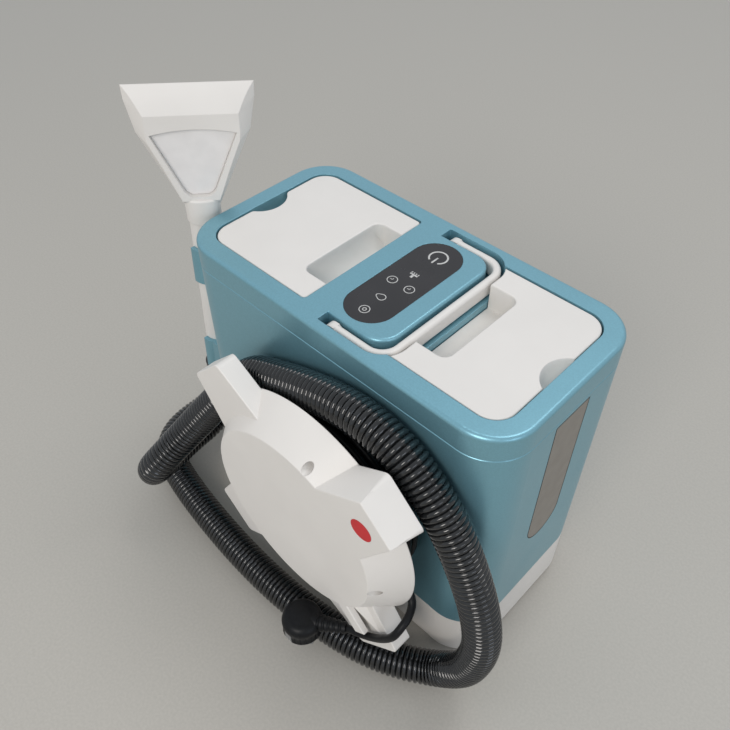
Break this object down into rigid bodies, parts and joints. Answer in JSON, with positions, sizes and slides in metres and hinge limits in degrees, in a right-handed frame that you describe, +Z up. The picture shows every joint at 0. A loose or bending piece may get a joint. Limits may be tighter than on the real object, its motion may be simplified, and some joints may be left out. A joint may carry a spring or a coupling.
{
  "type": "carpet cleaning machine",
  "caption": "Portable carpet and upholstery washer: tall body with lift-out waste and clean tanks, touch panel, carry bail, cord winder, suction hose and hand nozzle.",
  "frame": {"origin": "centre of the flat underside of the base, on the floor", "axes": "+X along the length towards the level window, -Y towards the cord winder, +Z up"},
  "size_m": [0.4694, 0.2802, 0.432],
  "materials": {
    "teal_plastic": "satin, slightly metallic",
    "white_plastic": "satin gloss",
    "black_panel": "gloss",
    "clear_plastic": "clear, slightly smoky",
    "tank_plastic": "satin",
    "black_rubber": "matt",
    "hose_plastic": "gloss",
    "steel": "brushed",
    "motor_case": "satin",
    "grey_plastic": "matt",
    "soft_tube": "soft",
    "circuit_board": "matt",
    "red_plastic": "gloss"
  },
  "bodies": {
    "base": {"base_plinth": "white_plastic", "rubber_pads": "black_rubber", "body_shell": "teal_plastic", "level_window": "clear_plastic", "top_frame": "teal_plastic", "touch_panel": "black_panel", "control_board": "circuit_board", "chassis": "grey_plastic", "chassis_screws": "steel", "vacuum_motor": "motor_case", "motor_mount_ring": "black_rubber", "fan_housing": "grey_plastic", "water_pump": "grey_plastic", "pump_feed_pipe": "soft_tube", "pump_outlet_pipe": "soft_tube", "suction_duct": "grey_plastic", "air_duct": "grey_plastic", "tank_port_seals": "black_rubber", "winder_drum": "white_plastic", "winder_cap": "white_plastic", "winder_screws": "steel", "red_marker": "red_plastic", "cord_gland": "black_rubber", "mains_cord_inner_layer": "black_rubber", "mains_cord_winding": "black_rubber", "mains_cord_tail": "black_rubber", "mains_plug": "black_rubber", "plug_pins": "steel", "plug_earth_contacts": "steel", "wand_clips": "teal_plastic", "clip_screws": "steel", "hose_port": "white_plastic", "hose_cuff_machine": "hose_plastic", "suction_hose": "hose_plastic"},
    "fan": {"fan_wheel": "grey_plastic", "motor_shaft": "steel"},
    "waste_tank": {"waste_tank": "tank_plastic", "riser_pipe": "grey_plastic", "air_pipe": "grey_plastic"},
    "float": {"float_sleeve": "grey_plastic"},
    "waste_lid": {"waste_lid": "white_plastic", "waste_lid_seal": "black_rubber"},
    "clean_tank": {"clean_tank": "tank_plastic", "valve_cage": "grey_plastic", "valve_spring": "steel"},
    "valve": {"valve_plunger": "grey_plastic", "valve_seal": "black_rubber"},
    "clean_lid": {"clean_lid": "white_plastic", "clean_lid_seal": "black_rubber"},
    "handle": {"carry_handle": "white_plastic", "handle_pins": "steel"},
    "wand": {"wand_tube": "white_plastic", "trigger_pin": "steel", "nozzle_head": "white_plastic", "nozzle_cover": "clear_plastic", "spray_jet": "grey_plastic", "hose_cuff_wand": "hose_plastic"},
    "trigger": {"wand_trigger": "white_plastic"}
  },
  "joints": [
    {"name": "handle_swing", "type": "hinge", "parent": "base", "child": "handle", "pos_m": [0.0025, 0, 0.31], "axis": [0, -1, 0], "range_deg": [0, 90]},
    {"name": "fan_spin", "type": "hinge", "parent": "base", "child": "fan", "pos_m": [0.0135, 0, 0.12], "axis": [0, 0, 1], "continuous": true},
    {"name": "waste_tank_lift", "type": "slide", "parent": "base", "child": "waste_tank", "axis": [0, 0, 1], "range_m": [0, 0.25]},
    {"name": "waste_lid_lift", "type": "slide", "parent": "waste_tank", "child": "waste_lid", "axis": [0, 0, 1], "range_m": [0, 0.04]},
    {"name": "float_rise", "type": "slide", "parent": "waste_tank", "child": "float", "axis": [0, 0, 1], "range_m": [0, 0.0235]},
    {"name": "clean_tank_lift", "type": "slide", "parent": "base", "child": "clean_tank", "axis": [0, 0, 1], "range_m": [0, 0.25]},
    {"name": "clean_lid_lift", "type": "slide", "parent": "clean_tank", "child": "clean_lid", "axis": [0, 0, 1], "range_m": [0, 0.04]},
    {"name": "valve_push", "type": "slide", "parent": "clean_tank", "child": "valve", "axis": [0, 0, 1], "range_m": [0, 0.004], "stiffness_N_per_m": 150, "springref_m": -0.003, "deforming": ["valve_spring"]},
    {"name": "wand_pull", "type": "slide", "parent": "base", "child": "wand", "axis": [-1, 0, 0], "range_m": [0, 0.025], "deforming": ["suction_hose"]},
    {"name": "trigger_squeeze", "type": "hinge", "parent": "wand", "child": "trigger", "pos_m": [-0.2138, -0.029, 0.23187], "axis": [-0.7071, -0.706, 0.0395], "range_deg": [0, 7], "stiffness_Nm_per_rad": 0.4, "springref_deg": -2.86}
  ]
}
